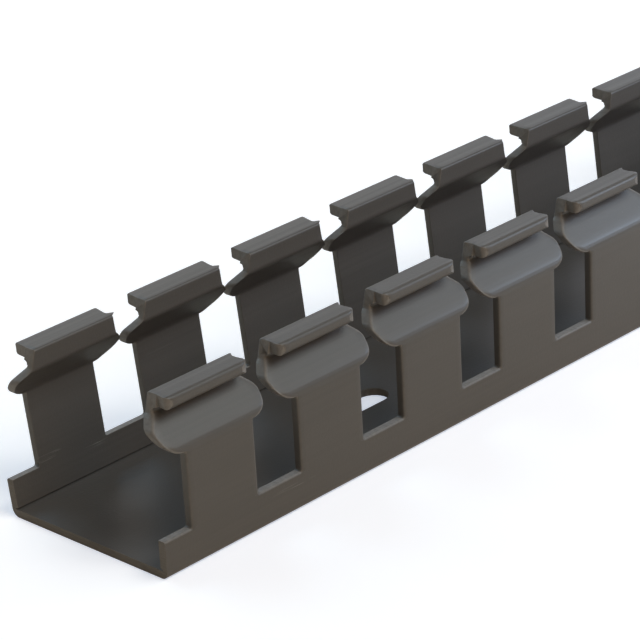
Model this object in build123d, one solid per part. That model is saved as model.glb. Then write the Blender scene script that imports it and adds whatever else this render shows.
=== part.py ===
from build123d import *
from math import asin, cos, degrees, radians, sin
import os

# A length of slotted wire duct: one extruded trough with finger slots punched through both side walls.
# X runs along the duct, Y across it and Z up. The origin is under the middle of the flat base.
# Sizes are in millimetres and degrees.

# The extrusion. Its walls lean outwards from the base.
duct_length = 1000.0
duct_height = 24.5
base_width = 32.0
wall_thickness = 1.3
floor_thickness = 1.2
wall_lean = 3.3
base_edge_radius = 1.2
inner_corner_radius = 0.3
inner_shoulder_radius = 1.2

# Above the shoulder the wall slopes inwards, then rises into a lip that overhangs outwards over a groove.
shoulder_height = 17.6
shoulder_slope = 46.5
shoulder_radius = 2.5
groove_radius = 0.4
lip_inner_offset = 11.5
lip_outer_offset = 15.9
lip_thickness = 1.8
lip_edge_radius = 0.35
lip_foot_radius = 1.0

# The slots and the necks of the fingers between them.
slot_pitch = 20.0
slot_width = 8.0
slot_corner_radius = 0.3
curb_height = 5.7
first_finger_start = 4.85

# The rounded head of each finger, which spreads into the slots on both sides of its neck.
head_bottom_height = 16.85
head_radius = 3.2
head_side_height = 19.6
head_edge_radius = 1.0
head_top_slope = 45.0

# The stem between head and lip, and the overhanging part of the lip, measured out from the neck's two edges.
stem_overhang = 1.5
stem_front_setback = 0.8
stem_back_setback = 0.2
stem_depth_offset = 13.4
lip_front_overhang = 0.4
lip_back_overhang = 1.65

# Slotted fixing holes along the middle of the base, the first of them under the third finger.
hole_length = 12.0
hole_width = 5.0
hole_pitch = 100.0
first_hole_finger = 3

# How far a cutter runs past what it cuts.
cut_clearance = 2.0

# Values that follow from the sizes above.
duct_start = -duct_length / 2
neck_width = slot_pitch - slot_width
first_slot_middle = first_finger_start - slot_width / 2
first_hole_middle = first_finger_start + (first_hole_finger - 1) * slot_pitch + neck_width / 2
lip_bottom_height = duct_height - lip_thickness
groove_offset = lip_inner_offset + wall_thickness
groove_middle_height = lip_bottom_height - groove_radius


def crossing(point, angle, other_point, other_angle):
    """The point where two lines of the section meet, each given by a point on it and its direction."""
    ux = cos(radians(angle))
    uz = sin(radians(angle))
    vx = cos(radians(other_angle))
    vz = sin(radians(other_angle))
    dx = other_point[0] - point[0]
    dz = other_point[1] - point[1]
    along = (dx * vz - dz * vx) / (ux * vz - uz * vx)
    return (point[0] + along * ux, point[1] + along * uz)


def section_corners():
    """Half of the section as corners and their radii, up the outside of the wall and down its inside."""
    wall_angle = 90 - wall_lean
    slope_angle = 180 - shoulder_slope
    base_edge = (base_width / 2, 0)
    shoulder = crossing(base_edge, wall_angle, (0, shoulder_height), 0)
    groove_foot = crossing(shoulder, slope_angle, (groove_offset, 0), 90)
    inner_wall = (base_width / 2 - wall_thickness / cos(radians(wall_lean)), 0)
    inner_slope = (
        shoulder[0] - wall_thickness * sin(radians(shoulder_slope)),
        shoulder[1] - wall_thickness * cos(radians(shoulder_slope)),
    )
    lip_foot = crossing(inner_slope, slope_angle, (lip_inner_offset, 0), 90)
    inner_shoulder = crossing(inner_wall, wall_angle, inner_slope, slope_angle)
    floor_corner = crossing(inner_wall, wall_angle, (0, floor_thickness), 0)
    return [
        (base_edge, base_edge_radius),
        (shoulder, shoulder_radius),
        (groove_foot, groove_radius),
        ((groove_offset, lip_bottom_height), groove_radius),
        ((lip_outer_offset, lip_bottom_height), lip_edge_radius),
        ((lip_outer_offset, duct_height), lip_edge_radius),
        ((lip_inner_offset, duct_height), lip_edge_radius),
        (lip_foot, lip_foot_radius),
        (inner_shoulder, inner_shoulder_radius),
        (floor_corner, inner_corner_radius),
    ]


def trough():
    """The plain extrusion, before anything is punched out of it."""
    right = section_corners()
    left = [((-corner[0], corner[1]), radius) for corner, radius in reversed(right)]
    corners = [corner for corner, _ in right + left]
    radii = [radius for _, radius in right + left]
    with BuildPart() as extrusion:
        with BuildSketch(Plane.YZ.offset(duct_start)):
            with BuildLine():
                FilletPolyline(*corners, radius=radii, close=True)
            make_face()
        extrude(amount=duct_length)
    return extrusion.part


def around(center, radius, angle, direction):
    """A point on a circle in the side view; direction is 1, or -1 for its mirror image."""
    return (center[0] + direction * radius * cos(radians(angle)), center[1] + radius * sin(radians(angle)))


def head_side(edge, direction, setback):
    """One side of a finger's head, from its neck to above the lip; returns the point where the outline ends.

    Direction points from the neck into the slot, and setback is how far the stem draws back at the lip's top.
    """
    center = (edge, head_bottom_height + head_radius)
    side_angle = -degrees(asin((center[1] - head_side_height) / head_radius))
    edge_center = around(center, head_radius - head_edge_radius, side_angle, direction)
    bottom = (edge, head_bottom_height)
    bottom_middle = around(center, head_radius, (side_angle - 90) / 2, direction)
    side = around(center, head_radius, side_angle, direction)
    side_middle = around(edge_center, head_edge_radius, (side_angle + head_top_slope) / 2, direction)
    top_start = around(edge_center, head_edge_radius, head_top_slope, direction)
    stem_side = (edge + direction * stem_overhang, 0)
    stem_foot = crossing(top_start, 90 + direction * head_top_slope, stem_side, 90)
    top = duct_height + cut_clearance
    setback_per_height = setback / (duct_height - stem_foot[1])
    end = (stem_foot[0] - direction * setback_per_height * (top - stem_foot[1]), top)
    ThreePointArc(bottom, bottom_middle, side)
    ThreePointArc(side, side_middle, top_start)
    Polyline(top_start, stem_foot, end)
    return end


def slot_outline():
    """The side view of what is punched out between two fingers, about the middle of the slot."""
    start = -slot_width / 2
    end = slot_width / 2
    with BuildSketch(Plane.XZ) as outline:
        with BuildLine():
            start_top = head_side(start, 1, stem_back_setback)
            end_top = head_side(end, -1, stem_front_setback)
            Line(start_top, end_top)
            FilletPolyline(
                (start, head_bottom_height),
                (start, curb_height),
                (end, curb_height),
                (end, head_bottom_height),
                radius=slot_corner_radius,
            )
        make_face()
    return outline.sketch


def lip_gaps():
    """What is taken out between the overhanging lips of two fingers, on both sides, down to the groove."""
    start = -slot_width / 2 + lip_back_overhang
    end = slot_width / 2 - lip_front_overhang
    height = duct_height + cut_clearance - groove_middle_height
    block = Box(end - start, base_width, height, align=(Align.MIN, Align.MIN, Align.MIN))
    gap = Pos(start, stem_depth_offset, groove_middle_height) * block
    return gap + mirror(gap, about=Plane.XZ)


def slot_cutter():
    """Everything that is punched out of both walls between two fingers."""
    outline = slot_outline()
    heads = split(
        extrude(outline, base_width, both=True),
        bisect_by=Plane.XY.offset(groove_middle_height),
        keep=Keep.BOTTOM,
    )
    stems = extrude(outline, stem_depth_offset, both=True)
    return heads + stems + lip_gaps()


def end_clearing(side):
    """What is taken off above the curb beyond the middle of an end slot, where only whole fingers stand."""
    block = Box(duct_length, 2 * base_width, duct_height, align=(side, Align.CENTER, Align.MIN))
    return Pos(0, 0, curb_height) * block


def hole_cutter():
    """A slotted hole through the floor, about its own middle."""
    return extrude(SlotOverall(hole_length, hole_width), floor_thickness + cut_clearance, both=True)


def places_along(first, pitch, count):
    """Places in a row along the duct, the first of them measured from its end."""
    return [Pos(duct_start + first + index * pitch, 0, 0) for index in range(count)]


def duct():
    """The trough with its slots and holes."""
    finger_count = int((duct_length - first_finger_start - neck_width) // slot_pitch) + 1
    hole_count = int((duct_length - first_hole_middle - hole_length / 2) // hole_pitch) + 1
    slot_places = places_along(first_slot_middle, slot_pitch, finger_count + 1)
    hole_places = places_along(first_hole_middle, hole_pitch, hole_count)
    slot = slot_cutter()
    hole = hole_cutter()
    slots = [place * slot for place in slot_places]
    ends = [slot_places[0] * end_clearing(Align.MAX), slot_places[-1] * end_clearing(Align.MIN)]
    holes = [place * hole for place in hole_places]
    return trough() - slots - ends - holes


os.makedirs("parts", exist_ok=True)
export_step(duct(), "parts/slotted_duct.step")
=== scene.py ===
import random
from bisect import bisect_left
from math import asin, cos, pi, radians, sin, sqrt, tan

import bpy
from mathutils import Matrix, Vector, noise
from mathutils.geometry import delaunay_2d_cdt, tessellate_polygon


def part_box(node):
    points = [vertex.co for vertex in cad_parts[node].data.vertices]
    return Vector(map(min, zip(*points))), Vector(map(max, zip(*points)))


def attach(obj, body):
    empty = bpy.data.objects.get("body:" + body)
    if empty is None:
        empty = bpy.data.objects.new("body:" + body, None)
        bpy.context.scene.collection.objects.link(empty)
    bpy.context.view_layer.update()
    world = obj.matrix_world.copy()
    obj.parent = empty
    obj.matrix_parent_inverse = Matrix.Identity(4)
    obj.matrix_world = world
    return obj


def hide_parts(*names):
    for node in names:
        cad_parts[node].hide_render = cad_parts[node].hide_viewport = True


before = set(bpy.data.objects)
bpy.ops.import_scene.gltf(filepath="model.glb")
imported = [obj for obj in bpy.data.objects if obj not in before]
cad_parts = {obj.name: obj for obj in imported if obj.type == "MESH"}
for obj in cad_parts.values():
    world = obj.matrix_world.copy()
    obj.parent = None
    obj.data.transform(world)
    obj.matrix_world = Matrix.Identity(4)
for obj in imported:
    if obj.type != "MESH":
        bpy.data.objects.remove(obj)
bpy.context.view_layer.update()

# The duct's sizes, in millimetres and degrees, as in its solid. X runs along it, depth is the distance from
# the middle plane Y = 0, and Z is up.
DUCT_LENGTH = (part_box("slotted_duct")[1][0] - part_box("slotted_duct")[0][0]) * 1000
DUCT_HEIGHT = 24.5
BASE_WIDTH = 32.0
WALL = 1.3
FLOOR = 1.2
WALL_LEAN = 3.3
BASE_EDGE_RADIUS = 1.2
SHOULDER_HEIGHT = 17.6
SHOULDER_SLOPE = 46.5
SHOULDER_RADIUS = 2.5
INNER_SHOULDER_RADIUS = 1.2
GROOVE_RADIUS = 0.4
LIP_INNER = 11.5
LIP_THICKNESS = 1.8
LIP_EDGE_RADIUS = 0.35
LIP_OUTER_EDGE_RADIUS = 0.6
LIP_FOOT_RADIUS = 1.0
PITCH = 20.0
SLOT = 8.0
SLOT_RADIUS = 0.3
CURB = 5.7
FIRST_FINGER = 4.85
HEAD_BOTTOM = 16.85
HEAD_RADIUS = 3.2
HEAD_SIDE = 19.6
HEAD_EDGE_RADIUS = 1.0
STEM_OVERHANG = 1.5
STEM_FRONT_SETBACK = 0.8
STEM_BACK_SETBACK = 0.2
STEM_DEPTH = 13.4
HOLE_LENGTH = 12.0
HOLE_WIDTH = 5.0
FIRST_HOLE_FINGER = 2
FINGERS_PER_HOLE = 5

# The notch in each wall beside the floor: its height, its depth, and how far its upper face falls.
FLOOR_CREASE_HEIGHT = 0.22
FLOOR_CREASE_DEPTH = 0.4
FLOOR_CREASE_FALL = 0.05

# The two walls (-1 near, 1 far) and the two ends of a finger (-1 front, 1 back) are unlike each other. How
# far out the lips stand, how far they reach into the slots, the radius of their outer corners seen from
# above, how much their reach differs from finger to finger, and over what depth it changes from the stem's
# reach to the lip's.
LIP_OUTER = {-1: 15.65, 1: 16.1}
LIP_OVERHANG = {(-1, -1): 0.95, (-1, 1): 1.6, (1, -1): 0.4, (1, 1): 1.75}
LIP_CORNER = {(-1, -1): 0.8, (-1, 1): 1.3, (1, -1): 0.15, (1, 1): 0.4}
LIP_SPARE = {-1: (-0.12, 0.12), 1: (-0.12, 0.08)}
LIP_RAMP = 1.2
# Half the width of the step between stem and lip, and where a lip's corner gets points, as shares of its
# radius.
LIP_STEP = 0.03
LIP_CORNER_SHARES = (0.1, 0.45, 0.7)
# Added points stay at least this far from the path's own.
POINT_GAP = 0.05

# The burr on the inner top edge of a lip's back end, on each wall: where it stands and how far it can stick
# out, the same for the front end on both, and then how wide it is and how far down it reaches.
BURR_DEPTH = {-1: 11.85, 1: 12.25}
BURR_SIZE = {-1: (0.2, 0.5), 1: (0.35, 0.85)}
FRONT_BURR_SIZE = (0.0, 0.12)
BURR_WIDTH = 0.6
BURR_FALL = 0.9
# How deep the torn ends' lumps are and how many there are to a millimetre, and the range of their seeds.
TORN_DEPTH = 0.05
TORN_LUMPS = 3.0
TORN_SEEDS = (0.0, 100.0)

# How far the punch rounded the edges of a slot on the wall's outer side, on its inner side, and on the
# lips.
OUTER_ROUNDING = 0.36
INNER_ROUNDING = 0.07
EDGE_ROUNDING = 0.13
# The three corners of a rounded edge: how far back along the edge and how far in, as shares of its radius.
EDGE_ARC = ((1.0, 0.0), (0.3, 0.3), (0.0, 1.0))
# How many flat steps a rounded corner gets, in the section, on a lip, on a head and its edge, and in a
# hole's ends.
CORNER_STEPS = 4
LIP_STEPS = 3
HEAD_STEPS = 7
HEAD_EDGE_STEPS = 3
HOLE_STEPS = 12
# Further rows of faces on a neck, and how near to another row a corner of the section gets none of its own.
NECK_ROWS = (9.0, 12.0, 14.5)
ROW_GAP = 0.09
# How much lighter each of the six corners across an edge is painted, from the outer surface to the inner one:
# partly the punch's whitening and partly a painted highlight on the rims and curb tops that catch the light.
HEAD_WHITENING_AND_HIGHLIGHT = (0.0, 1.0, 0.8, 0.8, 0.6, 0.0)
NECK_WHITENING_AND_HIGHLIGHT = (0.0, 0.3, 0.0, 0.0, 0.3, 0.0)
CURB_WHITENING_AND_HIGHLIGHT = (0.0, 0.6, 1.0, 1.0, 1.0, 0.0)
# The same for the three corners across the edge of a lip's end, and for the edge of a hole.
LIP_WHITENING_AND_HIGHLIGHT = (0.0, 1.0, 1.0)
HOLE_WHITENING_AND_HIGHLIGHT = 0.6
# Edges that turn by more than this many degrees are shaded as sharp, and large faces weigh this much in
# shading.
SHARP_ANGLE = 50
LARGE_FACE_WEIGHT = 90
# Where the columns of faces stand across a finger, as shares of its width.
FINGER_SHARES = (0.0, 0.06, 0.5, 0.94, 1.0)
# Heights that differ by less than the first of these are the same, and so are corners round a hole that are
# nearer to each other than the second.
TINY = 1e-6
SAME_PLACE = 1e-5
# The groove's upper corner is drawn this much smaller, so that it begins just above the groove's middle.
GROOVE_FIT = 0.999
# A triangle whose middle is further in than this share of a hole's rounding lies in the hole.
HOLE_MARGIN = 0.9

NECK = PITCH - SLOT
GROOVE = LIP_INNER + WALL
LIP_BOTTOM = DUCT_HEIGHT - LIP_THICKNESS
GROOVE_MIDDLE = LIP_BOTTOM - GROOVE_RADIUS
FRONT_END = -DUCT_LENGTH / 2


# The section


def crossing(point, angle, other_point, other_angle):
    """The point where two lines meet, each given by a point on it and its direction in degrees."""
    ux, uz = cos(radians(angle)), sin(radians(angle))
    vx, vz = cos(radians(other_angle)), sin(radians(other_angle))
    dx, dz = other_point[0] - point[0], other_point[1] - point[1]
    along = (dx * vz - dz * vx) / (ux * vz - uz * vx)
    return (point[0] + along * ux, point[1] + along * uz)


def rounded(corners, steps=CORNER_STEPS):
    """An open path through corners, each (point, radius), with every radius drawn as short flat steps."""
    path = [Vector(corners[0][0])]
    for (before, _), (corner, radius), (after, _) in zip(corners, corners[1:], corners[2:]):
        corner = Vector(corner)
        if radius == 0:
            path.append(corner)
            continue
        incoming = (Vector(before) - corner).normalized()
        outgoing = (Vector(after) - corner).normalized()
        half = incoming.angle(outgoing) / 2
        reach = radius / tan(half)
        center = corner + (incoming + outgoing).normalized() * radius / sin(half)
        start = corner + incoming * reach - center
        turn = pi - 2 * half
        sign = 1 if start.cross(corner + outgoing * reach - center) > 0 else -1
        for step in range(steps + 1):
            angle = sign * turn * step / steps
            path.append(center + Vector((
                start.x * cos(angle) - start.y * sin(angle),
                start.x * sin(angle) + start.y * cos(angle),
            )))
    path.append(Vector(corners[-1][0]))
    return path


def section_paths():
    """Half the section: up its outside to the groove, round the lip of each wall, and down its inside."""
    wall_angle = 90 - WALL_LEAN
    slope_angle = 180 - SHOULDER_SLOPE
    base_edge = (BASE_WIDTH / 2, 0.0)
    shoulder = crossing(base_edge, wall_angle, (0, SHOULDER_HEIGHT), 0)
    groove_foot = crossing(shoulder, slope_angle, (GROOVE, 0), 90)
    inner_wall = (BASE_WIDTH / 2 - WALL / cos(radians(WALL_LEAN)), 0)
    inner_slope = (
        shoulder[0] - WALL * sin(radians(SHOULDER_SLOPE)),
        shoulder[1] - WALL * cos(radians(SHOULDER_SLOPE)),
    )
    lip_foot = crossing(inner_slope, slope_angle, (LIP_INNER, 0), 90)
    inner_shoulder = crossing(inner_wall, wall_angle, inner_slope, slope_angle)
    outside = rounded([
        ((0.0, 0.0), 0),
        (base_edge, BASE_EDGE_RADIUS),
        (shoulder, SHOULDER_RADIUS),
        (groove_foot, GROOVE_RADIUS),
        ((GROOVE, GROOVE_MIDDLE), 0),
    ])
    lips = {}
    for side, outer in LIP_OUTER.items():
        lips[side] = rounded([
            ((GROOVE, GROOVE_MIDDLE), 0),
            ((GROOVE, LIP_BOTTOM), GROOVE_RADIUS * GROOVE_FIT),
            ((outer, LIP_BOTTOM), LIP_OUTER_EDGE_RADIUS),
            ((outer, DUCT_HEIGHT), LIP_OUTER_EDGE_RADIUS),
            ((LIP_INNER, DUCT_HEIGHT), LIP_EDGE_RADIUS),
            ((LIP_INNER, GROOVE_MIDDLE), 0),
        ], LIP_STEPS)
    crease = crossing(inner_wall, wall_angle, (0, FLOOR + FLOOR_CREASE_HEIGHT), 0)
    inside = rounded([
        ((LIP_INNER, GROOVE_MIDDLE), 0),
        (lip_foot, LIP_FOOT_RADIUS),
        (inner_shoulder, INNER_SHOULDER_RADIUS),
        (crease, 0),
        ((crease[0] + FLOOR_CREASE_DEPTH, crease[1] - FLOOR_CREASE_FALL), 0),
        ((crease[0] + FLOOR_CREASE_DEPTH, FLOOR), 0),
        ((0.0, FLOOR), 0),
    ])
    return outside, lips, inside


OUTSIDE, LIPS, INSIDE = section_paths()


def depth_reader(path):
    """A function that gives a wall surface's depth at a height, from a path up or down that surface."""
    points = sorted((point.y, point.x) for point in path)
    heights = [height for height, _ in points]

    def read(height):
        place = min(max(bisect_left(heights, height), 1), len(points) - 1)
        (z0, d0), (z1, d1) = points[place - 1], points[place]
        share = (height - z0) / (z1 - z0) if z1 > z0 else 0.0
        return d0 + share * (d1 - d0)

    return read


# The wall proper begins where the rounded base edge ends, and inside above the crease beside the floor.
outer_depth = depth_reader(OUTSIDE[CORNER_STEPS + 1:])
inner_depth = depth_reader([point for point in INSIDE if point.y > FLOOR + FLOOR_CREASE_HEIGHT - TINY])


# The outline of a finger, seen from the side

HEAD_CENTER = HEAD_BOTTOM + HEAD_RADIUS
HEAD_SIDE_ANGLE = -asin((HEAD_CENTER - HEAD_SIDE) / HEAD_RADIUS)
EDGE_CENTER = (
    (HEAD_RADIUS - HEAD_EDGE_RADIUS) * cos(HEAD_SIDE_ANGLE),
    HEAD_CENTER + (HEAD_RADIUS - HEAD_EDGE_RADIUS) * sin(HEAD_SIDE_ANGLE),
)
HEAD_TOP_START = (
    EDGE_CENTER[0] + HEAD_EDGE_RADIUS * cos(pi / 4),
    EDGE_CENTER[1] + HEAD_EDGE_RADIUS * sin(pi / 4),
)
STEM_FOOT = HEAD_TOP_START[1] + HEAD_TOP_START[0] - STEM_OVERHANG


def outline(height, setback):
    """How far a finger reaches into the slot at a height, and the outline's outward direction there."""
    if height < CURB + SLOT_RADIUS:
        down = CURB + SLOT_RADIUS - height
        across = sqrt(max(SLOT_RADIUS**2 - down**2, 0.0))
        return SLOT_RADIUS - across, (across / SLOT_RADIUS, down / SLOT_RADIUS)
    if height < HEAD_BOTTOM - TINY:
        return 0.0, (1.0, 0.0)
    if height < HEAD_BOTTOM + TINY:
        return 0.0, (1.0, -1.0)
    if height <= HEAD_SIDE:
        reach = sqrt(HEAD_RADIUS**2 - (HEAD_CENTER - height) ** 2)
        return reach, (reach / HEAD_RADIUS, (height - HEAD_CENTER) / HEAD_RADIUS)
    if height <= HEAD_TOP_START[1]:
        across = sqrt(HEAD_EDGE_RADIUS**2 - (height - EDGE_CENTER[1]) ** 2)
        rise = (height - EDGE_CENTER[1]) / HEAD_EDGE_RADIUS
        return EDGE_CENTER[0] + across, (across / HEAD_EDGE_RADIUS, rise)
    if height < STEM_FOOT - TINY:
        return HEAD_TOP_START[0] + HEAD_TOP_START[1] - height, (sqrt(0.5), sqrt(0.5))
    drawn_back = setback * (height - STEM_FOOT) / (DUCT_HEIGHT - STEM_FOOT)
    return STEM_OVERHANG - drawn_back, (1.0, tan(pi / 8) if height < STEM_FOOT + TINY else 0.0)


def row_heights():
    """The heights of the rows of faces of a finger, from the slot's bottom to the groove."""
    rows = [
        CURB + SLOT_RADIUS * (1 - cos(step / CORNER_STEPS * pi / 2))
        for step in range(CORNER_STEPS + 1)
    ]
    rows += NECK_ROWS
    rows += [
        HEAD_CENTER - HEAD_RADIUS * cos(step / HEAD_STEPS * (pi / 2 + HEAD_SIDE_ANGLE))
        for step in range(HEAD_STEPS + 1)
    ]
    for step in range(1, HEAD_EDGE_STEPS + 1):
        angle = HEAD_SIDE_ANGLE + (pi / 4 - HEAD_SIDE_ANGLE) * step / HEAD_EDGE_STEPS
        rows.append(EDGE_CENTER[1] + HEAD_EDGE_RADIUS * sin(angle))
    rows += [STEM_FOOT, GROOVE_MIDDLE]
    section_rows = [point.y for point in OUTSIDE + INSIDE if CURB + 2 * SLOT_RADIUS < point.y < GROOVE_MIDDLE]
    for height in section_rows:
        if min(abs(height - row) for row in rows) > ROW_GAP:
            rows.append(height)
    return sorted(rows)


ROWS = row_heights()


def edge_shape(height):
    """The six corners across a punched edge, from the outer surface to the inner one.

    Each says how far back from the cut it stands, how far outwards from a surface, and which surface that is.
    The edge is as sharp as the lip's where it reaches the lip.
    """
    outer, inner = OUTER_ROUNDING, INNER_ROUNDING
    if height > GROOVE_MIDDLE - TINY:
        outer, inner = EDGE_ROUNDING, EDGE_ROUNDING
    shape = [(outer * back, -outer * inward, outer_depth) for back, inward in EDGE_ARC]
    return shape + [(inner * back, inner * inward, inner_depth) for back, inward in reversed(EDGE_ARC)]


def edge_whitening_and_highlight(height):
    """How much lighter each corner is painted, whitening and painted highlight, most on a head's rim and a
    slot's bottom.
    """
    if height <= CURB:
        return CURB_WHITENING_AND_HIGHLIGHT
    if height >= HEAD_BOTTOM:
        return HEAD_WHITENING_AND_HIGHLIGHT
    return NECK_WHITENING_AND_HIGHLIGHT


# The mesh


class Builder:
    """Collects the duct's corners and faces, in millimetres, with a mark on each corner for punched edges."""

    def __init__(self):
        self.corners = []
        self.marks = []
        self.faces = []
        self.places = {}

    def corner(self, x, y, z, mark=0.0):
        """The number of the corner at a place, which is shared by all faces that meet there."""
        key = (round(x, 4), round(y, 4), round(z, 4))
        if key not in self.places:
            self.places[key] = len(self.corners)
            self.corners.append((x, y, z))
            self.marks.append(mark)
        return self.places[key]

    def face(self, numbers, flip):
        """Adds a face, turned over where flip is true. Corners that coincide count once."""
        kept = []
        for number in numbers:
            if number not in kept:
                kept.append(number)
        if len(kept) > 2:
            self.faces.append(kept[::-1] if flip else kept)

    def strips(self, rows, flip):
        """Joins each row of corners to the next one with four-sided faces."""
        for row, above in zip(rows, rows[1:]):
            for a, b, c, d in zip(row, row[1:], above[1:], above):
                self.face((a, b, c, d), flip)


class Wall:
    """One wall of one cell of the duct, which has a finger in its middle and half a slot at each end."""

    def __init__(self, builder, middle, side, reach, seed):
        self.builder = builder
        self.middle = middle
        self.side = side
        self.reach = reach
        chance = random.Random(seed)
        self.burr = {-1: chance.uniform(*FRONT_BURR_SIZE), 1: chance.uniform(*BURR_SIZE[side])}
        self.spare = {end: chance.uniform(*LIP_SPARE[end]) for end in (-1, 1)}
        self.torn = chance.uniform(*TORN_SEEDS)

    def corner(self, x, depth, z, mark=0.0):
        """A corner at a place along the cell from the finger's middle, and never past the duct's end."""
        along = min(max(self.middle + x, FRONT_END), -FRONT_END)
        return self.builder.corner(along, self.side * depth, z, mark)

    def edge_ring(self, end, height, setback):
        """The six corners round a punched edge at one height, from the outer surface to the inner one.

        End is -1 for the finger's front edge and 1 for its back edge.
        """
        reach, (out, up) = outline(height, setback)
        ring = []
        for back, outward, depth_at in edge_shape(height):
            z = height - back * up
            x = end * (NECK / 2 + reach - back * out)
            ring.append((x, depth_at(z) + outward, z))
        return ring

    def finger(self):
        """The finger from the slot's bottom up to the groove: both surfaces and both punched edges."""
        outer_rows, inner_rows, front_rows, back_rows = [], [], [], []
        for height in ROWS:
            front = self.edge_ring(-1, height, STEM_FRONT_SETBACK)
            back = self.edge_ring(1, height, STEM_BACK_SETBACK)
            outer_rows.append(self.across(front[0], back[0], outer_depth, height))
            inner_rows.append(self.across(front[-1], back[-1], inner_depth, height))
            marks = edge_whitening_and_highlight(height)
            front_rows.append([self.corner(*point, mark=mark) for point, mark in zip(front, marks)])
            back_rows.append([self.corner(*point, mark=mark) for point, mark in zip(back, marks)])
        right = self.side > 0
        self.builder.strips(outer_rows, right)
        self.builder.strips(inner_rows, not right)
        self.builder.strips(front_rows, not right)
        self.builder.strips(back_rows, right)

    def across(self, front, back, depth_at, height):
        """A row of corners on one surface, from the front edge to the back edge."""
        row = []
        for share in FINGER_SHARES:
            x = front[0] + share * (back[0] - front[0])
            z = front[2] if share in (0.0, 1.0) or height == CURB else height
            row.append(self.corner(x, depth_at(z), z))
        return row

    def lip_end(self, end, point):
        """How far the lip or its stem reaches into the slot at a point of the section."""
        torn = TORN_DEPTH * noise.noise(Vector((TORN_LUMPS * point.x, TORN_LUMPS * point.y, self.torn + end)))
        torn *= min(1.0, (point.y - GROOVE_MIDDLE) / GROOVE_RADIUS)
        setback = STEM_BACK_SETBACK if end > 0 else STEM_FRONT_SETBACK
        if point.x < STEM_DEPTH:
            sideways = max(0.0, 1 - abs(point.x - BURR_DEPTH[self.side]) / BURR_WIDTH)
            upwards = max(0.0, 1 - (DUCT_HEIGHT - point.y) / BURR_FALL)
            return outline(point.y, setback)[0] + torn + self.burr[end] * sideways * upwards
        stem = outline(DUCT_HEIGHT, setback)[0]
        overhang = LIP_OVERHANG[self.side, end] + self.spare[end]
        ramp = min(1.0, (point.x - STEM_DEPTH) / LIP_RAMP)
        radius = LIP_CORNER[self.side, end]
        beyond = max(0.0, point.x - (LIP_OUTER[self.side] - radius))
        return stem + (overhang - stem) * ramp + torn - radius + sqrt(max(radius**2 - beyond**2, 0.0))

    def lip_path(self):
        """The section round the lip, with more points where its ends step, bend or carry a burr."""
        burr = BURR_DEPTH[self.side]
        depths = [burr, burr + BURR_WIDTH / 2, burr + BURR_WIDTH]
        depths += [STEM_DEPTH - LIP_STEP, STEM_DEPTH + LIP_STEP]
        radius = max(LIP_CORNER[self.side, -1], LIP_CORNER[self.side, 1])
        depths += [LIP_OUTER[self.side] - radius + radius * share for share in LIP_CORNER_SHARES]
        path = []
        for point, following in zip(LIPS[self.side], LIPS[self.side][1:]):
            path.append(point)
            if abs(following.y - point.y) < TINY:
                low, high = sorted((point.x, following.x))
                between = [depth for depth in depths if low + POINT_GAP < depth < high - POINT_GAP]
                between.sort(reverse=following.x < point.x)
                path += [Vector((depth, point.y)) for depth in between]
        path.append(LIPS[self.side][-1])
        return path

    def lip(self):
        """The lip with its stem, from the groove round to the inside, and its two ends."""
        path = self.lip_path()
        normals = path_normals(path)
        rows, end_rings = [], {-1: [], 1: []}
        for point, normal in zip(path, normals):
            ends = {}
            for end in (-1, 1):
                reach = NECK / 2 + self.lip_end(end, point)
                ring = []
                for rounding, inset in EDGE_ARC:
                    place = point - normal * inset * EDGE_ROUNDING
                    x = end * (reach - rounding * EDGE_ROUNDING)
                    ring.append((x, place.x, place.y))
                ends[end] = ring
                end_rings[end].append(ring)
            front, back = ends[-1][0], ends[1][0]
            row = []
            for share in FINGER_SHARES:
                x = front[0] + share * (back[0] - front[0])
                z = front[2] if share == 0.0 else back[2] if share == 1.0 else point.y
                row.append(self.corner(x, point.x, z))
            rows.append(row)
        right = self.side > 0
        self.builder.strips(rows, right)
        for end, rings in end_rings.items():
            numbered = [
                [self.corner(*place, mark=mark) for place, mark in zip(ring, LIP_WHITENING_AND_HIGHLIGHT)]
                for ring in rings
            ]
            self.builder.strips(numbered, right == (end > 0))
            self.lip_end_faces(path, numbered, end)

    def lip_end_faces(self, path, rings, end):
        """The flat ends of the stem and of the lip, and the step between them."""
        flip = (self.side > 0) == (end > 0)
        stem = [i for i, point in enumerate(path) if point.x < STEM_DEPTH]
        overhang = [i for i, point in enumerate(path) if point.x > STEM_DEPTH]
        flat = [Vector((path[i].x, path[i].y, 0.0)) for i in stem]
        for triangle in tessellate_polygon([flat]):
            numbers = [rings[stem[i]][2] for i in triangle]
            self.builder.face(numbers, self.facing(numbers, end))
        half = len(overhang) // 2
        stem_below = max(i for i in stem if i < overhang[0])
        stem_above = min(i for i in stem if i > overhang[-1])
        below = [rings[stem_below][2]] + [rings[i][2] for i in overhang[:half]]
        above = [rings[stem_above][2]] + [rings[i][2] for i in overhang[:half - 1:-1]]
        self.builder.strips([below, above], not flip)

    def facing(self, numbers, end):
        """True where a triangle of an end face has to be turned over to face out of the duct."""
        a, b, c = (Vector(self.builder.corners[number]) for number in numbers)
        return (b - a).cross(c - a).x * end < 0

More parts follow.
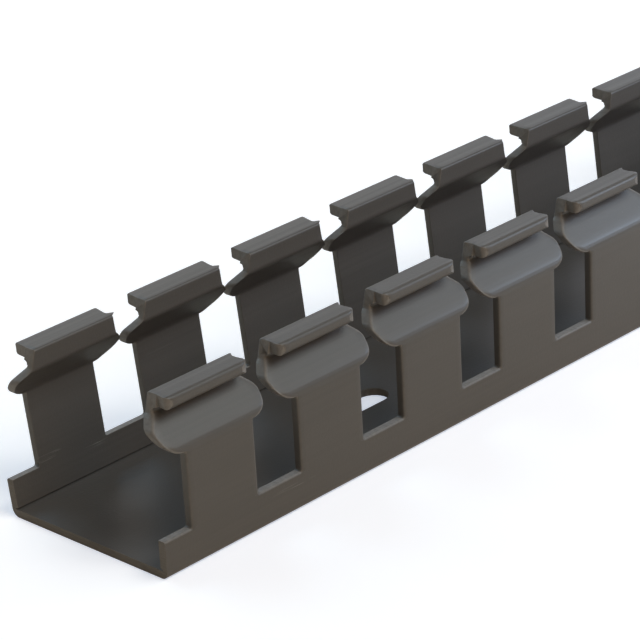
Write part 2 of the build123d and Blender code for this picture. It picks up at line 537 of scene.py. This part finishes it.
    def curb(self):
        """The solid strip below the slots, its rounded top edges, and its share of floor and underside."""
        half = NECK / 2 + SLOT_RADIUS
        columns = [-half + 2 * half * share for share in FINGER_SHARES]
        columns = [self.reach[0]] + columns + [self.reach[1]]
        right = self.side > 0
        profile = curb_top()
        outer = [profile[0]] + [(p.x, p.y) for p in reversed(OUTSIDE) if p.y < profile[0][1]]
        inner = [profile[-1]] + [(p.x, p.y) for p in INSIDE if p.y < profile[-1][1]]
        for path, flip in ((outer, not right), (inner, right)):
            path = [point for point in path if point[0] > HOLE_WIDTH]
            path.append((HOLE_WIDTH, path[-1][1]))
            rows = [[self.corner(x, depth, z) for x in columns] for depth, z in path]
            self.builder.strips(rows, flip)
        for ends in ((self.reach[0], -half), (half, self.reach[1])):
            rows = []
            for (depth, z), mark in zip(profile, CURB_WHITENING_AND_HIGHLIGHT):
                rows.append([self.corner(x, depth, z, mark=mark) for x in ends])
            self.builder.strips(rows, right)


def curb_top():
    """The section of the curb's top under a slot, from the outer surface to the inner one."""
    return [(depth_at(CURB - back) + outward, CURB - back) for back, outward, depth_at in edge_shape(CURB)]


def path_normals(path):
    """The outward direction at each point of a path that has the solid on its left."""
    normals = []
    for before, point, after in zip([path[0]] + path, path, path[1:] + [path[-1]]):
        first = (point - before).normalized() if point != before else (after - point).normalized()
        second = (after - point).normalized() if after != point else first
        along = (first + second).normalized()
        normals.append(Vector((along.y, -along.x)))
    return normals


def floor_middle(builder, middle, reach, holed):
    """The middle strip of the floor and of the underside, with a slotted hole where holed is true."""
    half = NECK / 2 + SLOT_RADIUS
    columns = [reach[0]] + [-half + 2 * half * share for share in FINGER_SHARES] + [reach[1]]
    if not holed:
        for z, flip in ((FLOOR, False), (0.0, True)):
            rows = [[builder.corner(middle + x, y, z) for x in columns] for y in (-HOLE_WIDTH, HOLE_WIDTH)]
            builder.strips(rows, flip)
        return
    border = [(x, -HOLE_WIDTH) for x in columns] + [(x, HOLE_WIDTH) for x in reversed(columns)]
    rim = slotted_outline(EDGE_ROUNDING)
    places = [Vector(place) for place in border + rim]
    loops = [list(range(len(border))), list(range(len(border), len(places)))]
    found, _, triangles, _, _, _ = delaunay_2d_cdt(places, [], loops, 1, SAME_PLACE)
    for triangle in triangles:
        center = sum((found[i] for i in triangle), Vector((0.0, 0.0))) / 3
        across = max(abs(center.x) - (HOLE_LENGTH - HOLE_WIDTH) / 2, 0.0)
        if Vector((across, center.y)).length < HOLE_WIDTH / 2 + EDGE_ROUNDING * HOLE_MARGIN:
            continue
        for z, flip in ((FLOOR, False), (0.0, True)):
            builder.face([builder.corner(middle + found[i].x, found[i].y, z) for i in triangle], flip)
    rows = []
    profile = [(wider, FLOOR - inward * EDGE_ROUNDING) for wider, inward in EDGE_ARC]
    profile += [(wider, inward * EDGE_ROUNDING) for wider, inward in reversed(EDGE_ARC)]
    for wider, z in profile:
        ring = slotted_outline(wider * EDGE_ROUNDING)
        ring.append(ring[0])
        mark = HOLE_WHITENING_AND_HIGHLIGHT if wider < 1 else 0.0
        rows.append([builder.corner(middle + x, y, z, mark) for x, y in ring])
    builder.strips(rows, False)


def slotted_outline(wider):
    """The outline of a slotted hole about its middle, counter-clockwise, made wider all round."""
    radius = HOLE_WIDTH / 2 + wider
    straight = (HOLE_LENGTH - HOLE_WIDTH) / 2
    points = []
    for center, start in ((straight, -pi / 2), (-straight, pi / 2)):
        for step in range(HOLE_STEPS + 1):
            angle = start + pi * step / HOLE_STEPS
            points.append((center + radius * cos(angle), radius * sin(angle)))
    return points


def cut_end(builder, x, direction):
    """The flat cut across the duct at one of its ends."""
    top = curb_top()
    right = top[:1] + [(p.x, p.y) for p in reversed(OUTSIDE) if p.y < top[0][1] and p.x > HOLE_WIDTH]
    right += [(HOLE_WIDTH, 0.0), (HOLE_WIDTH, FLOOR)]
    right += [(p.x, p.y) for p in reversed(INSIDE) if p.y < top[-1][1] and p.x > HOLE_WIDTH]
    right += reversed(top[1:])
    for side in (-1, 1):
        flat = [Vector((depth, z, 0.0)) for depth, z in right]
        for triangle in tessellate_polygon([flat]):
            numbers = [builder.corner(x, side * right[i][0], right[i][1]) for i in triangle]
            a, b, c = (Vector(builder.corners[number]) for number in numbers)
            builder.face(numbers, (b - a).cross(c - a).x * direction < 0)
    bridge = [(-HOLE_WIDTH, 0.0), (HOLE_WIDTH, 0.0), (HOLE_WIDTH, FLOOR), (-HOLE_WIDTH, FLOOR)]
    builder.face([builder.corner(x, y, z) for y, z in bridge], direction < 0)


def build_duct():
    """The whole duct as one mesh object, in metres."""
    builder = Builder()
    finger_count = int((DUCT_LENGTH - FIRST_FINGER - NECK) // PITCH) + 1
    for index in range(finger_count):
        middle = FRONT_END + FIRST_FINGER + NECK / 2 + index * PITCH
        front = FRONT_END - middle if index == 0 else -PITCH / 2
        back = -FRONT_END - middle if index == finger_count - 1 else PITCH / 2
        for side in (-1, 1):
            wall = Wall(builder, middle, side, (front, back), seed=2 * index + (side > 0))
            wall.finger()
            wall.lip()
            wall.curb()
        floor_middle(builder, middle, (front, back), index % FINGERS_PER_HOLE == FIRST_HOLE_FINGER)
    cut_end(builder, FRONT_END, -1)
    cut_end(builder, -FRONT_END, 1)
    mesh = bpy.data.meshes.new("duct")
    mesh.from_pydata([(x / 1000, y / 1000, z / 1000) for x, y, z in builder.corners], [], builder.faces)
    mesh.validate()
    marks = mesh.attributes.new("punched", "FLOAT", "POINT")
    marks.data.foreach_set("value", builder.marks)
    mesh.shade_smooth()
    mesh.set_sharp_from_angle(angle=radians(SHARP_ANGLE))
    duct = bpy.data.objects.new("duct", mesh)
    bpy.context.scene.collection.objects.link(duct)
    weighted = duct.modifiers.new("WeightedNormal", "WEIGHTED_NORMAL")
    weighted.keep_sharp = True
    weighted.weight = LARGE_FACE_WEIGHT
    return duct


# The plastic

BASE_COLOR = (0.079, 0.072, 0.067)
SCRATCH_COLOR = (0.22, 0.21, 0.20)
SCUFF_COLOR = (0.25, 0.24, 0.22)
SAW_MARK_COLOR = (0.09, 0.076, 0.064)
SAWN_COLOR = (0.125, 0.105, 0.088)

# How much lighter or darker than the plastic the patterns on it are, and how strongly each shows.
STREAK_SHADES = (0.93, 1.07)
CLOUD_SHADE = 1.10
CLOUD_AMOUNT = 0.5
# The lips' tops carry lighter bands of painted sheen.
SHEEN_BAND_SHADE = 1.25
SCRATCH_AMOUNT = 0.45
# The punched edges are painted lighter, partly the punch's whitening and partly painted highlight, torn
# crumbs more so.
WHITENING_AND_HIGHLIGHT_SHADE = 2.1
WHITENING_AND_HIGHLIGHT_AMOUNT = 0.8
TORN_SHADE = 3.0
TORN_AMOUNT = 0.5

ROUGHNESS = 0.43
STREAK_ROUGHNESS = 0.06
PUNCHED_ROUGHNESS = 0.12
# The relief: the height of streaks and torn spots against the grain's, how strongly all of it shows, and
# its height in metres.
STREAK_RELIEF = 0.5
TORN_RELIEF = 4.0
RELIEF_STRENGTH = 0.35
RELIEF_HEIGHT = 0.00002

# The patterns, each a noise: its lumps per metre along each axis, its turn in degrees, its detail, and the
# two values of the noise that become 0 and 1.
PATTERNS = {
    "streaks": ((12, 1700, 1700), (0, 0, 0), 3.0, 0.34, 0.66),
    "clouds": ((45, 45, 45), (0, 0, 0), 3.0, 0.32, 0.68),
    "bands": ((9, 1000, 300), (0, 0, 0), 2.0, 0.47, 0.60),
    "grain": ((2600, 2600, 2600), (0, 0, 0), 2.0, 0.3, 0.7),
    "crumbs": ((1700, 900, 900), (0, 0, 0), 4.0, 0.36, 0.68),
    "long_scratches": ((70, 1900, 1900), (0, 24, 15), 2.0, 0.70, 0.76),
    "upright_scratches": ((1500, 1500, 60), (8, 5, 0), 2.0, 0.70, 0.76),
    "worn": ((32, 32, 32), (0, 0, 0), 2.0, 0.55, 0.68),
    "scuff_scratches": ((160, 900, 5200), (0, -8, 0), 2.0, 0.52, 0.66),
    "saw_marks": ((300, 500, 5000), (20, 0, 0), 3.0, 0.3, 0.7),
}
LUMP_ROUGHNESS = 0.6

# How far in from the cut ends the saw marks show, and how far down from the lips' tops the painted sheen
# bands do, in millimetres.
SAWN_DEPTH = 0.02
SHEEN_BAND_DEPTH = 0.1

# Scuffs that the photograph shows: their middle in millimetres from the duct's front end, their half
# lengths along each axis, and how light they are.
SCUFFS = (
    ((6.2, 15.0, 6.7), (3.0, 1.2, 0.6), 1.0),
    ((15.0, 15.0, 5.2), (2.6, 1.2, 0.45), 0.9),
    ((24.0, -16.2, 4.1), (5.0, 1.0, 0.6), 0.6),
)
# Where a scuff is gone and where it is at its full strength, as shares of its half length.
SCUFF_FADE = (1.0, 0.3)


def add_node(material, kind, inputs, **settings):
    """A new shader node. An input is a value, or the socket that is linked to it."""
    node = material.node_tree.nodes.new(kind)
    for name, value in settings.items():
        setattr(node, name, value)
    for name, value in inputs.items():
        if isinstance(value, bpy.types.NodeSocket):
            material.node_tree.links.new(value, node.inputs[name])
        else:
            node.inputs[name].default_value = value
    return node


def object_place(material):
    """The place on the duct, in metres."""
    return add_node(material, "ShaderNodeTexCoord", {}).outputs["Object"]


def pattern(material, name):
    """One of the patterns, as a number from 0 to 1."""
    lumps, turn, detail, low, high = PATTERNS[name]
    mapping = add_node(
        material, "ShaderNodeMapping",
        {"Vector": object_place(material), "Scale": lumps, "Rotation": [radians(angle) for angle in turn]},
    )
    texture = add_node(
        material, "ShaderNodeTexNoise",
        {"Vector": mapping.outputs["Vector"], "Scale": 1.0, "Detail": detail, "Roughness": LUMP_ROUGHNESS},
    )
    spread = add_node(
        material, "ShaderNodeMapRange",
        {"Value": texture.outputs["Fac"], "From Min": low, "From Max": high},
    )
    return spread.outputs["Result"]


def math_node(material, operation, *values):
    """The result of one sum on sockets or values."""
    node = material.node_tree.nodes.new("ShaderNodeMath")
    node.operation = operation
    for socket, value in zip(node.inputs, values):
        if isinstance(value, bpy.types.NodeSocket):
            material.node_tree.links.new(value, socket)
        else:
            socket.default_value = value
    return node.outputs["Value"]


def blend(material, amount, first, second):
    """A colour between two others, each of them a socket or three numbers."""
    node = material.node_tree.nodes.new("ShaderNodeMix")
    node.data_type = "RGBA"
    material.node_tree.links.new(amount, node.inputs["Factor"])
    for socket, value in ((node.inputs[6], first), (node.inputs[7], second)):
        if isinstance(value, bpy.types.NodeSocket):
            material.node_tree.links.new(value, socket)
        else:
            socket.default_value = (*value, 1)
    return node.outputs[2]


def shade(amount):
    """The plastic's colour, lighter or darker by a factor."""
    return tuple(amount * part for part in BASE_COLOR)


def at_cut_end(material):
    """One on the duct's two cut ends and zero elsewhere."""
    along = add_node(material, "ShaderNodeSeparateXYZ", {"Vector": object_place(material)}).outputs["X"]
    distance = math_node(material, "ABSOLUTE", along)
    return math_node(material, "GREATER_THAN", distance, (DUCT_LENGTH / 2 - SAWN_DEPTH) / 1000)


def on_lip_top(material):
    """One on the lips' flat tops and zero elsewhere."""
    height = add_node(material, "ShaderNodeSeparateXYZ", {"Vector": object_place(material)}).outputs["Z"]
    return math_node(material, "GREATER_THAN", height, (DUCT_HEIGHT - SHEEN_BAND_DEPTH) / 1000)


def scuffed(material):
    """How light the plastic is at each of the scuffs: short scratches that fade towards the scuff's edge."""
    place = object_place(material)
    scratches = pattern(material, "scuff_scratches")
    nowhere, full = SCUFF_FADE
    amounts = []
    for (x, y, z), size, strength in SCUFFS:
        middle = ((x + FRONT_END) / 1000, y / 1000, z / 1000)
        offset = add_node(
            material, "ShaderNodeVectorMath", {0: place, 1: middle}, operation="SUBTRACT",
        ).outputs["Vector"]
        lengths = tuple(part / 1000 for part in size)
        scaled = add_node(
            material, "ShaderNodeVectorMath", {0: offset, 1: lengths}, operation="DIVIDE",
        ).outputs["Vector"]
        reach = add_node(material, "ShaderNodeVectorMath", {0: scaled}, operation="LENGTH").outputs["Value"]
        fade = add_node(
            material, "ShaderNodeMapRange",
            {"Value": reach, "From Min": nowhere, "From Max": full, "To Max": strength},
        ).outputs["Result"]
        amounts.append(math_node(material, "MULTIPLY", fade, scratches))
    result = amounts[0]
    for amount in amounts[1:]:
        result = math_node(material, "MAXIMUM", result, amount)
    return result


def duct_plastic():
    """Dark grey extruded plastic: drawn streaks, a fine grain, scratches, scuffs and rough punched edges."""
    material = bpy.data.materials.new("duct_plastic")
    material.use_nodes = True
    shader = material.node_tree.nodes["Principled BSDF"]
    links = material.node_tree.links
    streaks = pattern(material, "streaks")
    crumbs = pattern(material, "crumbs")
    punched = add_node(material, "ShaderNodeAttribute", {}, attribute_name="punched").outputs["Fac"]
    torn = math_node(material, "MULTIPLY", punched, crumbs)

    color = blend(material, streaks, shade(STREAK_SHADES[0]), shade(STREAK_SHADES[1]))
    clouds = math_node(material, "MULTIPLY", pattern(material, "clouds"), CLOUD_AMOUNT)
    color = blend(material, clouds, color, shade(CLOUD_SHADE))
    # Lighter bands of painted sheen along the lips' tops, standing in for the light on shallow ridges there.
    bands = math_node(material, "MULTIPLY", pattern(material, "bands"), on_lip_top(material))
    color = blend(material, bands, color, shade(SHEEN_BAND_SHADE))
    scratches = math_node(
        material, "MAXIMUM", pattern(material, "long_scratches"), pattern(material, "upright_scratches"),
    )
    scratches = math_node(material, "MULTIPLY", scratches, pattern(material, "worn"))
    color = blend(material, math_node(material, "MULTIPLY", scratches, SCRATCH_AMOUNT), color, SCRATCH_COLOR)
    # Punched edges painted lighter: partly the punch's whitening, partly a painted highlight where rims catch
    # the light.
    whitening_and_highlight = math_node(material, "MULTIPLY", punched, WHITENING_AND_HIGHLIGHT_AMOUNT)
    color = blend(material, whitening_and_highlight, color, shade(WHITENING_AND_HIGHLIGHT_SHADE))
    color = blend(material, math_node(material, "MULTIPLY", torn, TORN_AMOUNT), color, shade(TORN_SHADE))
    color = blend(material, scuffed(material), color, SCUFF_COLOR)
    sawn = blend(material, pattern(material, "saw_marks"), SAW_MARK_COLOR, SAWN_COLOR)
    color = blend(material, at_cut_end(material), color, sawn)
    links.new(color, shader.inputs["Base Color"])

    smoothest = ROUGHNESS - STREAK_ROUGHNESS / 2
    roughness = math_node(material, "MULTIPLY_ADD", streaks, STREAK_ROUGHNESS, smoothest)
    roughness = math_node(material, "MULTIPLY_ADD", punched, PUNCHED_ROUGHNESS, roughness)
    links.new(roughness, shader.inputs["Roughness"])

    relief = math_node(material, "MULTIPLY_ADD", streaks, STREAK_RELIEF, pattern(material, "grain"))
    relief = math_node(material, "MULTIPLY_ADD", torn, TORN_RELIEF, relief)
    bump = add_node(
        material, "ShaderNodeBump",
        {"Height": relief, "Strength": RELIEF_STRENGTH, "Distance": RELIEF_HEIGHT},
    )
    links.new(bump.outputs["Normal"], shader.inputs["Normal"])
    return material


# The stage

# The lamps: how far round the duct they stand from +X towards +Y and how high, both in degrees, then their
# light.
LAMPS = {
    "front_high": (282, 51, (0.345, 0.350, 0.340)),
    "front_low": (265, 23, (0.122, 0.066, 0.015)),
    "left_low": (220, 28, (0.010, 0.020, 0.035)),
    "right_high": (312, 48, (0.130, 0.155, 0.165)),
    "right_far_low": (30, 20, (0.073, 0.078, 0.089)),
    "far_right_low": (60, 20, (0.059, 0.058, 0.058)),
    "far_low": (90, 20, (0.125, 0.154, 0.168)),
    "far_left_low": (120, 20, (0.052, 0.072, 0.085)),
    "far_high": (75, 46, (0.068, 0.110, 0.150)),
    "end_low": (180, 12, (0.024, 0.015, 0.006)),
}
LAMP_SPREAD = 30
SKY = (0.113, 0.091, 0.052)
# A small soft lamp near the right of what the photograph shows: its place in metres from the middle of the
# duct's front end, its radius, and its power in watts.
NEAR_LAMP_PLACE = (0.20, -0.10, 0.08)
NEAR_LAMP_RADIUS = 0.03
NEAR_LAMP_POWER = (0.25, 0.315, 0.41)

# The floor: how far it reaches each way in metres, its colour and roughness, and the glow that makes it
# white to the camera alone.
FLOOR_SIZE = 6.0
FLOOR_COLOR = (0.86, 0.77, 0.67)
FLOOR_ROUGHNESS = 0.9
FLOOR_GLOW_COLOR = (0.74, 0.83, 1.0)
FLOOR_GLOW = 0.57

# The photograph's camera: its place in metres from the middle of the duct's front end, where it looks and
# its roll in degrees, and its focal length in pixels of an image this wide.
CAMERA_PLACE = (-0.2027191, -0.2728453, 0.1734325)
CAMERA_AZIMUTH = 47.6757
CAMERA_ELEVATION = 23.0598
CAMERA_ROLL = -5.8280
FOCAL_LENGTH = 2836.0
IMAGE_WIDTH = 640
SENSOR_WIDTH = 36.0
CLIP_RANGE = (0.01, 50.0)


def white_stage():
    """A pale floor that shows white to the camera and keeps the duct's shadow."""
    corners = [(x * FLOOR_SIZE, y * FLOOR_SIZE, 0) for x, y in ((-1, -1), (1, -1), (1, 1), (-1, 1))]
    mesh = bpy.data.meshes.new("floor")
    mesh.from_pydata(corners, [], [(0, 1, 2, 3)])
    floor = bpy.data.objects.new("floor", mesh)
    bpy.context.scene.collection.objects.link(floor)
    material = bpy.data.materials.new("floor")
    material.use_nodes = True
    shader = material.node_tree.nodes["Principled BSDF"]
    shader.inputs["Base Color"].default_value = (*FLOOR_COLOR, 1)
    shader.inputs["Roughness"].default_value = FLOOR_ROUGHNESS
    shader.inputs["Emission Color"].default_value = (*FLOOR_GLOW_COLOR, 1)
    rays = add_node(material, "ShaderNodeLightPath", {})
    glow = math_node(material, "MULTIPLY", rays.outputs["Is Camera Ray"], FLOOR_GLOW)
    material.node_tree.links.new(glow, shader.inputs["Emission Strength"])
    mesh.materials.append(material)


def lamps():
    """Soft lamps all round, the strongest high in front, a small one near the duct, and a faint even sky."""
    for name, (azimuth, elevation, light) in LAMPS.items():
        data = bpy.data.lights.new(name, "SUN")
        data.angle = radians(LAMP_SPREAD)
        data.energy = pi * max(light)
        data.color = tuple(part / max(light) for part in light)
        lamp = bpy.data.objects.new(name, data)
        lamp.rotation_euler = (0, radians(90 - elevation), radians(azimuth))
        bpy.context.scene.collection.objects.link(lamp)
    data = bpy.data.lights.new("near_right", "POINT")
    data.shadow_soft_size = NEAR_LAMP_RADIUS
    data.energy = max(NEAR_LAMP_POWER)
    data.color = tuple(part / max(NEAR_LAMP_POWER) for part in NEAR_LAMP_POWER)
    lamp = bpy.data.objects.new("near_right", data)
    lamp.location = Vector(NEAR_LAMP_PLACE) + Vector((FRONT_END / 1000, 0.0, 0.0))
    bpy.context.scene.collection.objects.link(lamp)
    world = bpy.data.worlds.new("world")
    world.use_nodes = True
    background = world.node_tree.nodes["Background"]
    background.inputs["Color"].default_value = (*(part / max(SKY) for part in SKY), 1)
    background.inputs["Strength"].default_value = max(SKY)
    bpy.context.scene.world = world


def camera():
    """The photograph's camera, as it was fitted to the duct's pitch."""
    azimuth = radians(CAMERA_AZIMUTH)
    elevation = radians(CAMERA_ELEVATION)
    roll = radians(CAMERA_ROLL)
    data = bpy.data.cameras.new("camera")
    data.sensor_width = SENSOR_WIDTH
    data.lens = FOCAL_LENGTH / IMAGE_WIDTH * SENSOR_WIDTH
    data.clip_start, data.clip_end = CLIP_RANGE
    holder = bpy.data.objects.new("camera", data)
    bpy.context.scene.collection.objects.link(holder)
    place = Vector(CAMERA_PLACE) + Vector((FRONT_END / 1000, 0.0, 0.0))
    forward = Vector((
        cos(elevation) * cos(azimuth),
        cos(elevation) * sin(azimuth),
        -sin(elevation),
    ))
    level = Vector((sin(azimuth), -cos(azimuth), 0.0))
    upright = level.cross(forward)
    right = cos(roll) * level + sin(roll) * upright
    up = -sin(roll) * level + cos(roll) * upright
    turn = Matrix((right, up, -forward)).transposed()
    holder.matrix_world = Matrix.Translation(place) @ turn.to_4x4()
    bpy.context.scene.camera = holder


duct = build_duct()
duct.data.materials.append(duct_plastic())
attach(duct, "root")
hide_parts("slotted_duct")
white_stage()
lamps()
camera()
bpy.context.scene.view_settings.view_transform = "Standard"
